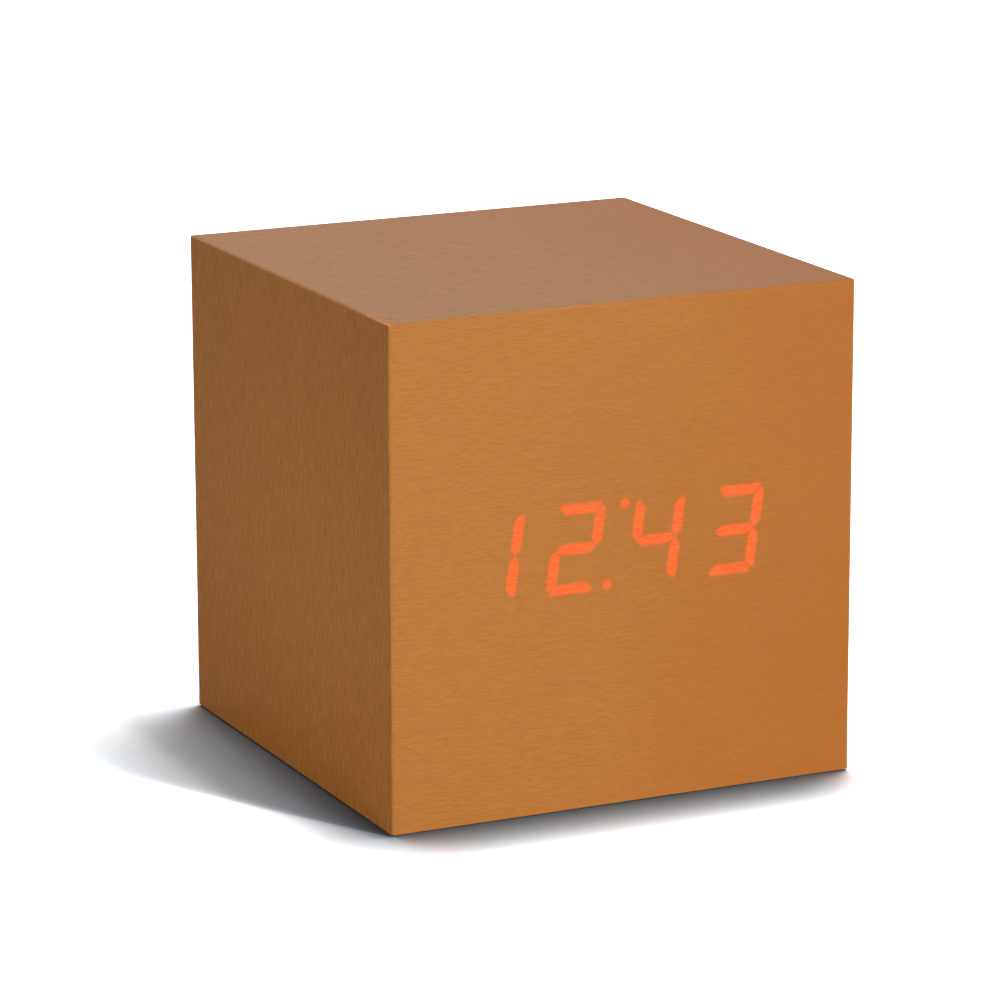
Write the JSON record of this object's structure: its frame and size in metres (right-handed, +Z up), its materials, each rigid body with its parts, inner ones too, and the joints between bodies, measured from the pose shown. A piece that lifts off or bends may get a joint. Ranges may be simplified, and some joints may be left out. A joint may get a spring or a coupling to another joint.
{
  "type": "digital alarm clock",
  "caption": "Cube-shaped digital alarm clock in copper-brown film with glowing orange digits, rear buttons, a power socket and a battery door underneath.",
  "frame": {"origin": "on the table under the middle of the cube, at the bottom of the feet", "axes": "+Z up, -Y out of the front with the digits, +X to the right as seen from the front"},
  "size_m": [0.068, 0.068, 0.0683],
  "materials": {
    "mdf": "raw fibreboard",
    "copper_film": "satin film with a fine brushed figure",
    "lit_digit": "glowing",
    "light_guide": "milky",
    "white_plastic": "moulded",
    "lamp": "clear resin",
    "circuit_board": "solder mask on glass-fibre board",
    "black_plastic": "fine moulded grain",
    "screw_steel": "zinc plated",
    "rubber_pad": "matte",
    "cell_jacket": "printed foil",
    "contact_metal": "nickel plated",
    "gold_contact": "gold plated",
    "capacitor_sleeve": "sleeve",
    "ribbon": "flat cable"
  },
  "bodies": {
    "clock": {"front_board": "mdf", "top_board": "mdf", "back_board": "mdf", "left_board": "mdf", "right_board": "mdf", "screw_blocks": "mdf", "wrap_film": "copper_film", "left_film": "copper_film", "right_film": "copper_film", "lit_segments": "lit_digit", "light_guides": "light_guide", "display_reflector": "white_plastic", "display_lamps": "lamp", "display_pcb": "circuit_board", "display_spacers": "white_plastic", "display_screws": "screw_steel", "display_header": "black_plastic", "display_ribbon": "ribbon", "base_plate": "black_plastic", "base_screws": "screw_steel", "feet": "rubber_pad", "cell_front": "cell_jacket", "cell_middle": "cell_jacket", "cell_rear": "cell_jacket", "contact_plates": "contact_metal", "contact_springs": "contact_metal", "main_pcb": "circuit_board", "main_pcb_screws": "screw_steel", "processor": "black_plastic", "timekeeper": "black_plastic", "crystal": "contact_metal", "capacitors": "capacitor_sleeve", "coin_holder": "black_plastic", "coin_cell": "cell_jacket", "buzzer": "black_plastic", "microphone": "contact_metal", "main_headers": "black_plastic", "control_panel": "black_plastic", "panel_screws": "screw_steel", "switch_bodies": "black_plastic", "control_pcb": "circuit_board", "control_pcb_screws": "screw_steel", "control_header": "black_plastic", "control_ribbon": "ribbon", "power_socket_shell": "contact_metal", "power_socket_tongue": "black_plastic", "power_socket_contacts": "gold_contact"},
    "door": {"battery_door": "black_plastic"},
    "set_key": {"set_button": "black_plastic", "set_plunger": "black_plastic"},
    "up_key": {"up_button": "black_plastic", "up_plunger": "black_plastic"},
    "down_key": {"down_button": "black_plastic", "down_plunger": "black_plastic"}
  },
  "joints": [
    {"name": "set_press", "type": "slide", "parent": "clock", "child": "set_key", "axis": [0, -1, 0], "range_m": [0, 0.0003], "stiffness_N_per_m": 400, "springref_m": -0.001},
    {"name": "up_press", "type": "slide", "parent": "clock", "child": "up_key", "axis": [0, -1, 0], "range_m": [0, 0.0003], "stiffness_N_per_m": 400, "springref_m": -0.001},
    {"name": "down_press", "type": "slide", "parent": "clock", "child": "down_key", "axis": [0, -1, 0], "range_m": [0, 0.0003], "stiffness_N_per_m": 400, "springref_m": -0.001},
    {"name": "door_hinge", "type": "hinge", "parent": "clock", "child": "door", "pos_m": [0, -0.01725, 0.0016], "axis": [-1, 0, 0], "range_deg": [0, 90]}
  ]
}
